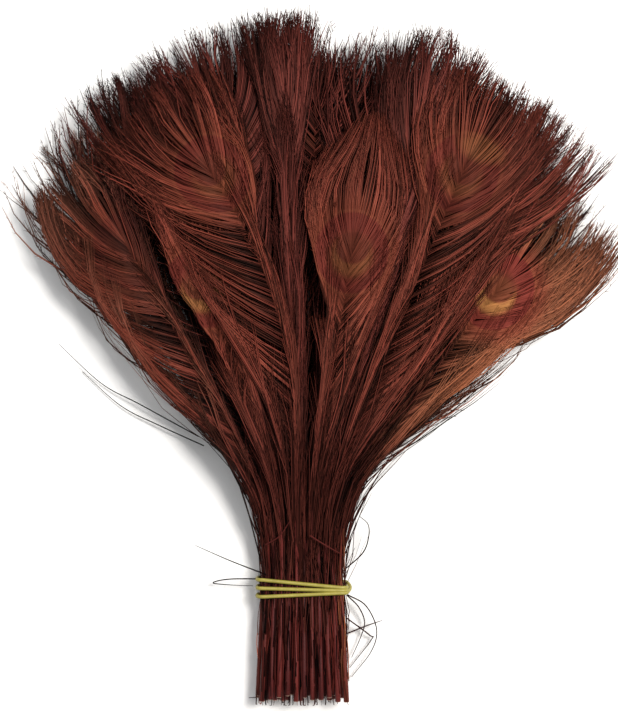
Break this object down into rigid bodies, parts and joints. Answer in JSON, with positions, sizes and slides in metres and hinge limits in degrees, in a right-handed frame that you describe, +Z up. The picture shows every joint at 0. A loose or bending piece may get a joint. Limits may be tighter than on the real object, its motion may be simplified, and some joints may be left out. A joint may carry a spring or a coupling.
{
  "type": "tied bunch of peacock feathers",
  "caption": "Flat fan of brown-dyed peacock eye feathers lying on their side, with the cut quills held together by a wound rubber band.",
  "frame": {"origin": "on the surface that the bunch lies on, straight below the middle of the tie, at the flat underside of the rubber band's middle turn", "axes": "+Y along the bunch from the cut ends to the feather tips, +X to the right seen from above, +Z up from the surface"},
  "size_m": [0.2459, 0.2778, 0.0282],
  "materials": {
    "dyed_feather": "fine barbs, satin, dyed dark red-brown",
    "band_rubber": "matt, yellow-green"
  },
  "bodies": {
    "root": {"feather_01": "dyed_feather", "feather_02": "dyed_feather", "feather_03": "dyed_feather", "feather_04": "dyed_feather", "feather_05": "dyed_feather", "feather_06": "dyed_feather", "feather_07": "dyed_feather", "feather_08": "dyed_feather", "feather_09": "dyed_feather", "feather_10": "dyed_feather", "feather_11": "dyed_feather", "feather_12": "dyed_feather", "feather_13": "dyed_feather", "feather_14": "dyed_feather", "feather_15": "dyed_feather", "feather_16": "dyed_feather", "feather_17": "dyed_feather", "feather_18": "dyed_feather", "feather_19": "dyed_feather", "feather_20": "dyed_feather", "feather_21": "dyed_feather", "feather_22": "dyed_feather", "feather_23": "dyed_feather", "feather_24": "dyed_feather", "feather_25": "dyed_feather", "feather_26": "dyed_feather", "feather_27": "dyed_feather", "feather_28": "dyed_feather", "feather_29": "dyed_feather", "feather_30": "dyed_feather", "feather_31": "dyed_feather", "feather_32": "dyed_feather", "feather_33": "dyed_feather", "feather_34": "dyed_feather", "feather_35": "dyed_feather", "feather_36": "dyed_feather", "feather_37": "dyed_feather", "feather_38": "dyed_feather", "feather_39": "dyed_feather", "feather_40": "dyed_feather", "feather_41": "dyed_feather", "feather_42": "dyed_feather", "feather_43": "dyed_feather", "feather_44": "dyed_feather", "rubber_band": "band_rubber"}
  },
  "joints": []
}
